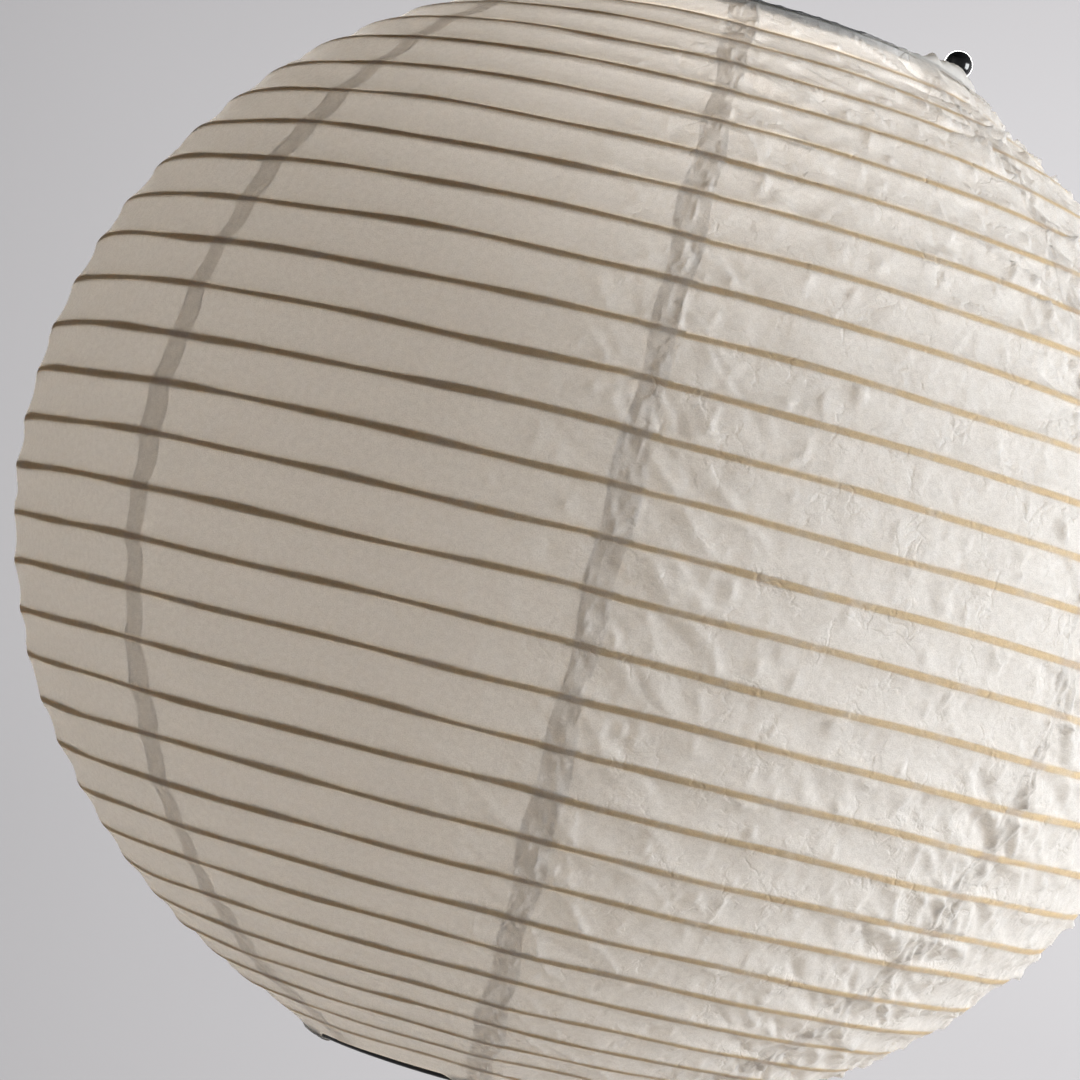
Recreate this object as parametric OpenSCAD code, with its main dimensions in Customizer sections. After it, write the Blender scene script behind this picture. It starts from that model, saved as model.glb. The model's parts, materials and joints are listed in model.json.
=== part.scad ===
// Round paper lantern shade: eight paper gores glued over bamboo hoops, held open
// between two wire rings by a wire stretcher that hangs from a lampholder ring.
// +Z is up along the lantern's axis. The origin is the centre of the lampholder bore.
// The stretcher's arms lie along X, and one paper seam faces -Y.

/* [Globe] */
// Outside diameter at the widest hoop
globe_d = 600; // [500:5:640]
// Height of the full ellipse as a share of its diameter
globe_squash = 0.931; // [0.9:0.001:1]
// Number of bamboo hoops between the two rings
hoop_count = 29; // [25:1:31]
// Ellipse angle of the place where the top ring would lie on the ellipse
top_angle = 66.3; // [64:0.1:68]
// Ellipse angle of the place where the bottom ring would lie on the ellipse
bottom_angle = -72.9; // [-74:0.1:-71]
// How far the hoops sit below equal spacing: [share of the way down, number of spaces]
hoop_drift = [[0, 0], [0.17, 0.40], [0.4, 0.72], [0.6, 0.92], [0.73, 0.92], [0.83, 0.66], [0.93, 0.12], [1, 0]];

/* [Paper] */
// Thickness of the paper
paper_t = 0.3; // [0.2:0.05:0.4]
// Number of paper gores
gore_count = 8; // [6:1:10]
// Width of the glued overlap of two gores at the widest hoop
lap_w = 13; // [8:0.5:16]

/* [Bamboo hoops] */
// Height of a bamboo hoop's strip, along the paper
strip_h = 3.6; // [3:0.1:3.8]
// Depth of a bamboo hoop's strip, in from the paper
strip_d = 2.1; // [1.8:0.1:2.4]

/* [End rings] */
// Diameter of the wire of both end rings
ring_wire_d = 4; // [3.5:0.1:4.5]
// Radius of the top ring's centre line
top_ring_r = 123; // [121:0.5:125]
// Height of the top ring above the globe's centre
top_ring_h = 259; // [257:0.5:261]
// Radius of the bottom ring's centre line
bottom_ring_r = 88; // [86:0.5:90]
// Depth of the bottom ring below the globe's centre
bottom_ring_h = 268; // [266:0.5:270]
// Thickness of the paper strip that is folded around each ring
binding_t = 0.55; // [0.4:0.05:0.6]

/* [Stretcher] */
// Diameter of the stretcher's wire
wire_d = 3.6; // [3:0.1:4]
// Diameter of the lampholder bore
lampholder_bore_d = 41; // [40:0.5:43]
// Outside diameter of the lampholder ring
hub_d = 56; // [52:1:60]
// Thickness of the lampholder ring
hub_t = 2; // [1.5:0.1:2.5]
// Distance of each upright leg from the axis
leg_x = 76; // [72:0.5:77]
// Distance of each stop post from the axis
post_x = 112; // [110:0.5:114]
// Height of a grip ball's centre above the top ring's centre
ball_rise = 21; // [15:0.5:22]
// Diameter of a grip ball
ball_d = 14.5; // [11:0.5:15]
// Outside diameter of the soft caps on the arm and foot ends
cap_d = 5.4; // [5:0.1:5.6]

/* [Hidden] */
$fn = 96;
// Gap between parts of one body that only touch
touch_gap = 0.1;
// Gap between parts that move apart when the shade folds
fold_gap = 0.3;
// Width of the cut along a bamboo strip's edges
strip_cut = 0.5;
// Depth that the arms' weld sinks into the lampholder ring
weld_sink = 0.4;
// Distance that an arm reaches in over the lampholder ring
weld_reach = 4;
// Length of the soft caps
cap_len = 12;
// Thickness of a soft cap's closed end
cap_end_t = 1.5;
// Distance that a cap reaches past the centre line of the ring that it meets
cap_reach = 4;
foot_reach = 8;
// Radius of the bend between a leg and its foot
foot_bend_r = 8;

globe_r = globe_d / 2;
globe_h = globe_r * globe_squash;
binding_r = ring_wire_d / 2 + binding_t;
gore_angle = 360 / gore_count;
lap_angle = asin(lap_w / globe_r);
arm_z = (hub_t + wire_d) / 2 - weld_sink;
top_ring_z = arm_z + cap_d / 2 + touch_gap + binding_r;
globe_z = top_ring_z - top_ring_h;
bottom_ring_z = globe_z - bottom_ring_h;
foot_z = bottom_ring_z + binding_r + cap_d / 2 + fold_gap;
arm_end_x = top_ring_r + cap_reach;
foot_end_x = bottom_ring_r + foot_reach;
ball_z = top_ring_z + ball_rise;

paper_color = [0.93, 0.91, 0.87];
binding_color = [0.88, 0.86, 0.82];
bamboo_color = [0.72, 0.58, 0.38];
steel_color = [0.15, 0.15, 0.16];
cap_color = [0.05, 0.05, 0.06];

function two_digits(i) = str(i < 10 ? "0" : "", i);
function hoop_name(i) = str("hoop_", two_digits(i));
function gore_name(i) = str("paper_gore_", i);

// Hoops lie a little further apart near the top, and closer together near the bottom.
function hoop_place(i) = (i + lookup(i / (hoop_count + 1), hoop_drift)) / (hoop_count + 1);
function hoop_angle(i) = top_angle - hoop_place(i) * (top_angle - bottom_angle);
// A point [radius, height] of the paper's outside, in the globe's own frame
function shell_point(a) = [globe_r * cos(a), globe_h * sin(a)];
// The outward normal of the ellipse at an angle
function shell_normal(a) = unit([globe_squash * cos(a), sin(a)]);
function unit(v) = v / norm(v);
// The outward normal of a straight paper band that runs down from p to q
function band_normal(p, q) = unit([p.y - q.y, q.x - p.x]);

top_ring_point = [top_ring_r, top_ring_h];
bottom_ring_point = [bottom_ring_r, -bottom_ring_h];
top_band_normal = band_normal(top_ring_point, shell_point(hoop_angle(1)));
bottom_band_normal = band_normal(shell_point(hoop_angle(hoop_count)), bottom_ring_point);

// The paper's section, at a distance out from its inner face: one point over the top
// ring, one on each hoop, and one under the bottom ring.
function paper_line(out) = concat(
    [top_ring_point + top_band_normal * (binding_r + touch_gap + out)],
    [for (i = [1:hoop_count])
        shell_point(hoop_angle(i)) + shell_normal(hoop_angle(i)) * (out - paper_t)],
    [bottom_ring_point + bottom_band_normal * (binding_r + fold_gap + out)]
);

function reversed(list) = [for (i = [len(list) - 1:-1:0]) list[i]];

// One gore. Every second gore is glued over the edges of its two neighbours, so each
// seam is a lap of two layers, centred on the seam.
module paper_gore(i) {
    layer = (i % 2) * paper_t;
    seam = -90 + (i - 1) * gore_angle;
    color(paper_color)
        translate([0, 0, globe_z])
            rotate([0, 0, seam - lap_angle / 2])
                rotate_extrude(angle = gore_angle + lap_angle)
                    polygon(concat(paper_line(layer), reversed(paper_line(layer + paper_t))));
}

module wire_ring(r, z, d) {
    translate([0, 0, z])
        rotate_extrude()
            translate([r, 0])
                circle(d = d);
}

// A bamboo strip's section as points [out from the globe, along the paper]
function strip_section() = let (d = strip_d / 2, h = strip_h / 2, cut = strip_cut) [
    [d, h - cut], [d - cut, h], [cut - d, h], [-d, h - cut],
    [-d, cut - h], [cut - d, -h], [d - cut, -h], [d, cut - h]
];

// The strip lies flat behind the paper, inside it by the glue line.
module hoop(i) {
    normal = shell_normal(hoop_angle(i));
    along = [-normal.y, normal.x];
    centre = shell_point(hoop_angle(i)) - normal * (paper_t + fold_gap + strip_d / 2);
    color(bamboo_color)
        translate([0, 0, globe_z])
            rotate_extrude()
                polygon([for (p = strip_section()) centre + p.x * normal + p.y * along]);
}

module top_ring() {
    color(steel_color)
        wire_ring(top_ring_r, top_ring_z, ring_wire_d);
}

module bottom_ring() {
    color(steel_color)
        wire_ring(bottom_ring_r, bottom_ring_z, ring_wire_d);
}

// A strip of paper folded round a ring's wire
module edge_binding(r, z) {
    color(binding_color)
        translate([0, 0, z])
            rotate_extrude()
                translate([r, 0])
                    difference() {
                        circle(r = binding_r);
                        circle(d = ring_wire_d);
                    }
}

module hub_plate() {
    cylinder(d = hub_d, h = hub_t, center = true);
}

module lampholder_ring() {
    color(steel_color)
        difference() {
            hub_plate();
            cylinder(d = lampholder_bore_d, h = 3 * hub_t, center = true);
        }
}

// A straight wire from one point to another
module wire(from, to) {
    run = to - from;
    translate(from)
        rotate([0, acos(run.z / norm(run)), atan2(run.y, run.x)])
            cylinder(d = wire_d, h = norm(run));
}

module arm_wire() {
    wire([hub_d / 2 - weld_reach, 0, arm_z], [arm_end_x - cap_end_t, 0, arm_z]);
}

// An arm is welded on the lampholder ring, reaches under the top ring and carries the
// upright post that keeps the ring from sliding inwards.
module arm() {
    color(steel_color)
        difference() {
            union() {
                arm_wire();
                wire([post_x, 0, arm_z], [post_x, 0, ball_z]);
            }
            hub_plate();
        }
}

module grip_ball() {
    color(cap_color)
        difference() {
            translate([post_x, 0, ball_z])
                sphere(d = ball_d);
            wire([post_x, 0, ball_z - ball_d], [post_x, 0, ball_z]);
        }
}

// A leg hangs from its arm, coped to the arm's underside, and its foot bends outwards
// over the bottom ring and holds it down.
module leg() {
    color(steel_color)
        difference() {
            union() {
                wire([leg_x, 0, foot_z + foot_bend_r], [leg_x, 0, arm_z]);
                translate([leg_x + foot_bend_r, 0, foot_z + foot_bend_r])
                    rotate([90, 0, 0])
                        rotate([0, 0, 180])
                            rotate_extrude(angle = 90)
                                translate([foot_bend_r, 0])
                                    circle(d = wire_d);
                wire([leg_x + foot_bend_r, 0, foot_z], [foot_end_x - cap_end_t, 0, foot_z]);
            }
            arm_wire();
        }
}

// A soft cap on a wire's end
module end_cap(end_x, z) {
    color(cap_color)
        difference() {
            translate([end_x - cap_len, 0, z])
                rotate([0, 90, 0])
                    cylinder(d = cap_d, h = cap_len);
            wire([end_x - 2 * cap_len, 0, z], [end_x - cap_end_t, 0, z]);
        }
}

module on_left() {
    rotate([0, 0, 180])
        children();
}

FRAME_NODES = [
    "lampholder_ring", "arm_right", "arm_left", "leg_right", "leg_left",
    "grip_ball_right", "grip_ball_left", "arm_cap_right", "arm_cap_left",
    "foot_cap_right", "foot_cap_left"
];
RING_NODES = ["top_ring", "bottom_ring", "top_edge_binding", "bottom_edge_binding"];

lampholder_ring();
arm();  // arm_right
on_left() arm();  // arm_left
leg();  // leg_right
on_left() leg();  // leg_left
grip_ball();  // grip_ball_right
on_left() grip_ball();  // grip_ball_left
end_cap(arm_end_x, arm_z);  // arm_cap_right
on_left() end_cap(arm_end_x, arm_z);  // arm_cap_left
end_cap(foot_end_x, foot_z);  // foot_cap_right
on_left() end_cap(foot_end_x, foot_z);  // foot_cap_left
top_ring();
bottom_ring();
edge_binding(top_ring_r, top_ring_z);  // top_edge_binding
edge_binding(bottom_ring_r, bottom_ring_z);  // bottom_edge_binding
for (i = [1:gore_count])
    paper_gore(i);
for (i = [1:hoop_count])
    hoop(i);
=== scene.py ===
"""The looks of a round paper lantern shade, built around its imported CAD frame.

Lengths are in metres. Azimuth is measured round the lantern's axis from -Y, where one seam
faces the camera, towards +X. A level is a place down the shade: 0 at the top ring, 1 at the
first hoop, and the last one at the bottom ring.
"""
import json
import math

import bpy
import numpy as np
from mathutils import Matrix, Vector


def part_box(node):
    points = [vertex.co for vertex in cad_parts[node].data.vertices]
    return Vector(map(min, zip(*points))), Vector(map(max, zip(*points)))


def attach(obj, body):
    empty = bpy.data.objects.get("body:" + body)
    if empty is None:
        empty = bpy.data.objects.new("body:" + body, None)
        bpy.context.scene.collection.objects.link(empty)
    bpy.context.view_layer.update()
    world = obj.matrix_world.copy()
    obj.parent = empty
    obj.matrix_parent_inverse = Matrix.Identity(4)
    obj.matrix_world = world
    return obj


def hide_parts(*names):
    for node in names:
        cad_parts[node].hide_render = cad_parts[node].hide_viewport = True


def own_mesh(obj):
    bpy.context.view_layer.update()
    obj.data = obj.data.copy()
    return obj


MM = 0.001
TURN = 2 * math.pi

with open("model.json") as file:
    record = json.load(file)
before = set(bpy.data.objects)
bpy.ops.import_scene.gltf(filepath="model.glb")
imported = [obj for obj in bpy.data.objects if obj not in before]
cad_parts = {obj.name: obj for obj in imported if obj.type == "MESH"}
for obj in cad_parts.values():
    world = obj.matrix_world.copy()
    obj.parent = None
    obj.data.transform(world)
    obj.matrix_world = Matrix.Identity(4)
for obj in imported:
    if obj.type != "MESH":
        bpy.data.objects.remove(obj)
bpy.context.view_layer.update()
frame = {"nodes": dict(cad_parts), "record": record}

# ------------------------------------------------------------------ places from the frame

hoop_names = sorted(n for n in frame["nodes"] if n.startswith("hoop_"))
gore_names = sorted(n for n in frame["nodes"] if n.startswith("paper_gore_"))
hoop_count = len(hoop_names)
gore_count = len(gore_names)
last_level = hoop_count + 1


def middle(low, high):
    """The middle of two numbers or vectors."""
    return (low + high) / 2


def size_of(name):
    """A CAD node's width, depth and height."""
    low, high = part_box(name)
    return high - low


def ring_of(name):
    """(radius, height) of the centre line of a CAD ring about the axis."""
    node = frame["nodes"][name]
    places = np.array([node.matrix_world @ v.co for v in node.data.vertices])
    reach = np.hypot(places[:, 0], places[:, 1])
    return middle(reach.min(), reach.max()), middle(places[:, 2].min(), places[:, 2].max())


level_r, level_z = np.array([ring_of(n) for n in ["top_ring", *hoop_names, "bottom_ring"]]).T
ring_wire_r = size_of("top_ring").z / 2
globe_r = max(level_r)
globe_centre = Vector((0, 0, middle(*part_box("paper_gore_1")).z))
gore_angle = TURN / gore_count

# ---------------------------------------------------------------------------- mesh tools


def grid_faces(rows, columns, wrap):
    """Quads of a grid of points, which closes on itself along its columns if wrap is true."""
    across = columns if wrap else columns - 1
    row, column = np.meshgrid(np.arange(rows - 1), np.arange(across), indexing="ij")
    start = row * columns + column
    beside = row * columns + (column + 1) % columns
    return np.stack([start, start + columns, beside + columns, beside], axis=-1).reshape(-1, 4)


def torus_faces(rows, columns):
    """Quads of a grid that closes on itself both ways."""
    row, column = np.meshgrid(np.arange(rows), np.arange(columns), indexing="ij")
    below, beside = (row + 1) % rows, (column + 1) % columns
    upper, lower = row * columns, below * columns
    corners = [upper + column, lower + column, lower + beside, upper + beside]
    return np.stack(corners, axis=-1).reshape(-1, 4)


def new_object(name, data):
    """A new object in the scene."""
    made = bpy.data.objects.new(name, data)
    bpy.context.scene.collection.objects.link(made)
    return made


def full_turn(count):
    """Angles of evenly spaced places round one turn."""
    return np.linspace(0, TURN, count, endpoint=False)


def mesh_object(name, points, faces, values=None):
    """A mesh object from points and quads. values holds named numbers or vectors per point."""
    mesh = bpy.data.meshes.new(name)
    points = np.asarray(points, np.float32).reshape(-1, 3)
    faces = np.asarray(faces, np.int32)
    mesh.vertices.add(len(points))
    mesh.vertices.foreach_set("co", points.ravel())
    mesh.loops.add(faces.size)
    mesh.loops.foreach_set("vertex_index", faces.ravel())
    mesh.polygons.add(len(faces))
    mesh.polygons.foreach_set("loop_start", np.arange(0, faces.size, faces.shape[1], dtype=np.int32))
    mesh.polygons.foreach_set("use_smooth", np.full(len(faces), True))
    for key, value in (values or {}).items():
        value = np.asarray(value, np.float32)
        is_vector = value.size == points.size
        kind, field = ("FLOAT_VECTOR", "vector") if is_vector else ("FLOAT", "value")
        mesh.attributes.new(key, kind, "POINT").data.foreach_set(field, value.ravel())
    mesh.update(calc_edges=True)
    mesh.validate()
    return new_object(name, mesh)


def closed_tube(name, points, maps, sides, flip=False):
    """A solid tube from rows of points round it, with a fan of triangles at each end. maps holds
    a vector per point. flip turns its faces over."""
    quads = grid_faces(len(points) // sides, sides, True)
    tip, base = len(points), len(points) - sides
    here = np.arange(sides)
    beside = (here + 1) % sides
    start = np.stack([np.full(sides, tip), beside, here], 1)
    end = np.stack([np.full(sides, tip + 1), base + here, base + beside], 1)
    caps = np.concatenate([start, end])
    if flip:
        quads, caps = quads[:, ::-1], caps[:, ::-1]
    points = np.concatenate([points, [points[:sides].mean(0), points[-sides:].mean(0)]])
    maps = np.concatenate([maps, maps[:1], maps[-1:]]).astype(np.float32)
    mesh = bpy.data.meshes.new(name)
    mesh.from_pydata(points.tolist(), [], quads.tolist() + caps.tolist())
    mesh.attributes.new("piece_map", "FLOAT_VECTOR", "POINT").data.foreach_set("vector", maps.ravel())
    mesh.polygons.foreach_set("use_smooth", np.full(len(mesh.polygons), True))
    mesh.update()
    return new_object(name, mesh)


def sweep(name, path, radii, sides=16):
    """A solid tube along a path, with a radius at each of its points."""
    path = np.asarray(path, float)
    tangent = np.gradient(path, axis=0)
    tangent /= np.linalg.norm(tangent, axis=1)[:, None]
    side = np.cross(tangent[0], (0.3, 0.9, 0.1))
    turn = full_turn(sides)
    points, maps, run = [], [], 0.0
    for i, place in enumerate(path):
        side = side - tangent[i] * side.dot(tangent[i])
        side /= np.linalg.norm(side)
        up = np.cross(tangent[i], side)
        run += np.linalg.norm(place - path[i - 1]) if i else 0.0
        ring = np.cos(turn)[:, None] * side + np.sin(turn)[:, None] * up
        points.append(place + radii[i] * ring)
        maps.append(np.stack([np.full(sides, run), radii[i] * turn, np.zeros(sides)], 1))
    return closed_tube(name, np.concatenate(points), np.concatenate(maps), sides, flip=True)


def lathe(name, profile, place, axis, steps=64):
    """A solid turned from a closed outline of (radius, height) about an axis through place."""
    profile = np.asarray(profile, float)
    turn = full_turn(steps)
    r, h = profile[:, :1], profile[:, 1:]
    points = np.stack([r * np.cos(turn), r * np.sin(turn), h + 0 * turn], -1)
    faces = grid_faces(len(profile), steps, True)
    closing = grid_faces(2, steps, True)
    closing = np.where(closing < steps, closing + (len(profile) - 1) * steps, closing - steps)
    piece = mesh_object(name, points, np.concatenate([faces, closing]))
    tilt = Vector((0, 0, 1)).rotation_difference(Vector(axis)).to_matrix().to_4x4()
    piece.data.transform(Matrix.Translation(place) @ tilt)
    return piece


def arc(centre, radius, start, end, steps):
    """Points [x, y] on a round stretch, with angles in degrees."""
    angles = np.radians(np.linspace(start, end, steps))
    return np.stack([centre[0] + radius * np.cos(angles), centre[1] + radius * np.sin(angles)], 1)


def on_axis(azimuth, radius, height):
    """Points at an azimuth, a distance from the axis and a height."""
    azimuth, radius, height = np.broadcast_arrays(azimuth, radius, height)
    return np.stack([radius * np.sin(azimuth), -radius * np.cos(azimuth), height], -1)


def smooth_step(low, high, x):
    """0 at low and 1 at high, with a gentle start and end."""
    t = np.clip((x - low) / (high - low), 0, 1)
    return t * t * (3 - 2 * t)


def turned_from_front(azimuth):
    """The same azimuth, from -pi to pi."""
    return (azimuth + math.pi) % TURN - math.pi


def turned_degrees(azimuth):
    """The same azimuth in degrees, from -180 to 180."""
    return (np.degrees(azimuth) + 180) % 360 - 180


def drift(azimuth, seed, waves, size):
    """A gentle wave round the shade, about size high, which meets itself after one turn."""
    picks = np.random.default_rng(seed)
    phases = picks.uniform(0, TURN, len(waves))
    parts = [np.sin(k * azimuth + p) for k, p in zip(waves, phases)]
    return size * sum(parts) / math.sqrt(len(waves))


# ------------------------------------------------------------------------ the shade's form

# The section of a bamboo strip, and how the paper is glued on it
STRIP_HALF_HEIGHT = 1.72 * MM
STRIP_HALF_DEPTH = 0.95 * MM
GLUE_GAP = 0.12 * MM
GLUED_HALF = 1.45 * MM
FREE_FROM = 4.4 * MM
# The glued laps of the gores, and how far every second gore lies over its neighbours
LAP_HALF = 6.6 * MM
LAYER_STEP = 0.2 * MM
# How deep the paper hangs in between two hoops
SCALLOP_DEPTH = 1.35 * MM
SCALLOP_DRIFT = 0.38 * MM
SCALLOP_AT_RINGS = 0.45
# How far a strip's two ends are moved apart at the front seam, and over what angles
END_OFFSET = 0.75 * MM
END_BLEND = math.radians(7)
END_TURN = math.radians(2.2)
# The distance of the paper from the middle of a ring's wire
RING_PAPER_R = ring_wire_r + 0.35 * MM
# Where the bottom ring's wire is bare, how far the paper stops short of the wire's middle there,
# and how far it sinks inwards
BARE_FROM, BARE_TO = math.radians(-60), math.radians(-8)
BARE_BLEND = math.radians(3)
BARE_BACK = 4.6 * MM
BARE_DROP = 0.9 * MM

level_points = np.stack([level_r, level_z], 1)
level_tangent = np.gradient(level_points, axis=0)
level_tangent /= np.linalg.norm(level_tangent, axis=1)[:, None]
level_normal = np.stack([-level_tangent[:, 1], level_tangent[:, 0]], 1)
level_along = np.concatenate([[0], np.cumsum(np.linalg.norm(np.diff(level_points, axis=0), axis=1))])


def hoop_shift(level, azimuth):
    """How far a hoop strays down the shade and outwards from its true circle."""
    if level in (0, last_level):
        return 0 * azimuth, 0 * azimuth
    down = drift(azimuth, 100 + level, (2, 3, 5, 9, 14), 0.55 * MM)
    out = drift(azimuth, 200 + level, (2, 4, 7, 12), 0.35 * MM)
    return down, out


def strip_half_height(level, azimuth):
    """Half of a bamboo strip's height, which varies as a split strip's does."""
    return STRIP_HALF_HEIGHT + drift(azimuth, 300 + level, (3, 7, 11, 18, 29), 0.3 * MM)


def bare_share(azimuth):
    """1 where the bottom ring's wire is bare, and 0 where paper is folded round it."""
    turned = turned_from_front(azimuth)
    after_start = smooth_step(BARE_FROM - BARE_BLEND, BARE_FROM + BARE_BLEND, turned)
    before_end = smooth_step(BARE_TO + BARE_BLEND, BARE_TO - BARE_BLEND, turned)
    return after_start * before_end


def off_level(level, out, down):
    """Radius and height at a distance outwards from a level's circle and down the shade from it."""
    centre, normal, tangent = level_points[level], level_normal[level], level_tangent[level]
    return [centre[k] + normal[k] * out + tangent[k] * down for k in (0, 1)]


def ridge_point(level, azimuth):
    """[radius, height] of the paper where it passes over a hoop or a ring."""
    down, out = hoop_shift(level, azimuth)
    at_ring = level in (0, last_level)
    lift = RING_PAPER_R if at_ring else STRIP_HALF_DEPTH + GLUE_GAP
    if level == last_level:
        down = down - BARE_BACK * bare_share(azimuth)
        out = out - BARE_DROP * bare_share(azimuth)
    if not at_ring:
        turned = turned_from_front(azimuth)
        down = down + END_OFFSET * np.tanh(turned / END_TURN) * np.exp(-np.abs(turned) / END_BLEND)
    return np.stack(off_level(level, lift + out, down), -1)


# Steps across one band of paper, closer together at its two hoops
BAND_STEPS = np.array([0, 0.03, 0.065, 0.11, 0.17, 0.24, 0.32, 0.41,
                       0.5, 0.59, 0.68, 0.76, 0.83, 0.89, 0.935, 0.97])
row_level = np.concatenate([b + BAND_STEPS for b in range(last_level)] + [[last_level]])
row_along = np.interp(row_level, np.arange(last_level + 1), level_along)
row_radius = np.interp(row_level, np.arange(last_level + 1), level_r)

# Columns across one gore, closer together over its two laps
EDGE_SHARE = 0.15
LAP_COLUMNS = 24
FIELD_COLUMNS = 150
column_places = np.concatenate([
    np.linspace(-1, EDGE_SHARE - 1, LAP_COLUMNS, endpoint=False),
    np.linspace(EDGE_SHARE - 1, 1 - EDGE_SHARE, FIELD_COLUMNS, endpoint=False),
    np.linspace(1 - EDGE_SHARE, 1, LAP_COLUMNS + 1),
])

# How crumpled the paper is round the shade, at azimuths in degrees
CRUMPLE_AT = (-180, -120, -90, -62, -40, -12, 0, 14, 30, 48, 80, 120, 180)
CRUMPLE = (0.6, 0.45, 0.35, 0.16, 0.12, 0.2, 0.6, 0.6, 0.75, 1.0, 1.0, 0.8, 0.6)

# How many creases there are to choose from, over the whole shade and at each seam
BAND_CREASES = 6400
FOLDS_PER_SEAM = 260
CRINKLES_PER_SEAM = 250
# How far from its line a crease still shows, in widths
CREASE_REACH = 5
# Zigzags along half a crease, in radians
ZIGZAG = 9
# Cells each way before the pattern of facets repeats
FACET_CELLS = 256


def crumple_at(azimuth):
    """How crumpled the paper is at an azimuth, from 0 to 1."""
    return np.interp(turned_degrees(azimuth), CRUMPLE_AT, CRUMPLE)


def shade_radius(along):
    """The shade's radius at a distance along the paper from the top ring."""
    return np.interp(along, level_along, level_r)


class CreaseList:
    """Creases as rows of azimuth, place down the shade, angle, half length, two widths,
    height, bend and wave. An angle of 0 runs along the hoops, and 90 degrees down the shade."""

    def __init__(self, seed):
        self.picks = np.random.default_rng(seed)
        self.rows = []

    def span(self, low, high):
        """A random number from low to high."""
        return self.picks.uniform(low, high)

    def chance(self, share):
        """True for this share of the calls."""
        return self.picks.random() < share

    def add(self, azimuth, along, angle, half, width, lean, height, bend):
        """lean is how much gentler one side is. Most creases are steep towards -azimuth."""
        widths = (width, width * lean) if self.chance(0.22) else (width * lean, width)
        wave = self.span(0.3, 1.0) * min(width, 1.2 * MM)
        bow = self.picks.normal(0, bend)
        self.rows.append((azimuth, along, angle, half, *widths, height, bow, wave))

    def add_band_creases(self, count):
        """Short bent creases between two hoops, steep on one side, all over the shade."""
        for _ in range(count):
            azimuth = self.span(-math.pi, math.pi)
            along = self.span(0.01, 0.99) * level_along[-1]
            strength = crumple_at(azimuth)
            if self.chance(shade_radius(along) / globe_r * strength):
                height = self.span(0.9, 2.6) * strength ** 0.7 * MM
                height = height if self.chance(0.8) else -0.7 * height
                angle = math.radians(self.picks.normal(86, 22))
                self.add(azimuth, along, angle, self.span(3.5, 10) * MM, self.span(0.6, 1.0) * MM,
                         self.span(2.5, 6), height, 0.3)

    def add_seam_folds(self, centre, count):
        """Long folds that run out from a seam."""
        for _ in range(count):
            along = self.span(0.02, 0.98) * level_along[-1]
            side = 1 if self.chance(0.55) else -1
            strength = crumple_at(centre + side * 0.12)
            if not self.chance(strength):
                continue
            angle = math.radians(self.picks.normal(43, 13))
            half = self.span(14, 46) * MM
            reach = self.span(0.6, 1.5) * half * math.cos(angle)
            azimuth = centre + side * reach / shade_radius(along)
            height = self.span(1.6, 3.4) * strength * MM
            height = height if self.chance(0.6) else -height
            self.add(azimuth, along + side * reach * math.tan(angle), angle, half,
                     self.span(0.7, 1.7) * MM, self.span(1.6, 4), height, 0.14)

    def add_lap_crinkles(self, centre, count):
        """Small sharp crinkles in the glued lap."""
        for _ in range(count):
            along = self.span(0.01, 0.99) * level_along[-1]
            strength = 0.35 + 0.65 * crumple_at(centre + 0.02)
            azimuth = centre + self.picks.normal(0, 3.6) * MM / shade_radius(along)
            angle = math.radians(self.picks.normal(88, 32))
            height = self.span(0.6, 1.9) * strength * MM
            height = height if self.chance(0.65) else -0.8 * height
            self.add(azimuth, along, angle, self.span(3, 9) * MM, self.span(0.6, 1.1) * MM,
                     self.span(1, 2.2), height, 0.2)


def crease_rows():
    """All the creases of the shade."""
    creases = CreaseList(11)
    creases.add_band_creases(BAND_CREASES)
    for seam in range(gore_count):
        centre = -math.pi + seam * gore_angle
        creases.add_seam_folds(centre, FOLDS_PER_SEAM)
        creases.add_lap_crinkles(centre, CRINKLES_PER_SEAM)
    return creases.rows


creases = crease_rows()


def crease_height(azimuth, along):
    """The height that all creases give to a grid of points with the same rows down the shade."""
    height = np.zeros_like(azimuth)
    radius = shade_radius(along)
    rows = along.mean(1)
    for at, down, angle, half, width_a, width_b, rise, bend, wave in creases:
        reach = half + CREASE_REACH * max(width_a, width_b)
        first, last = np.searchsorted(rows, (down - reach, down + reach))
        if last <= first:
            continue
        part = slice(first, last)
        x = turned_from_front(azimuth[part] - at) * radius[part]
        if np.abs(x).min() > reach:
            continue
        near = np.flatnonzero((np.abs(x) < reach).any(0))
        columns = slice(near[0], near[-1] + 1)
        x = x[:, columns]
        y = along[part, columns] - down
        run = x * math.cos(angle) + y * math.sin(angle)
        off = y * math.cos(angle) - x * math.sin(angle)
        share = run / half
        zigzag = np.arcsin(np.sin(ZIGZAG * share + 40 * at)) / (math.pi / 2)
        off = off + bend * half * (share ** 2 - 0.3) + wave * zigzag
        fade = np.clip(1 - share ** 2, 0, 1) ** 2
        height[part, columns] += rise * fade * np.exp(-np.where(off > 0, off / width_a, -off / width_b))
    return height


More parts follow.
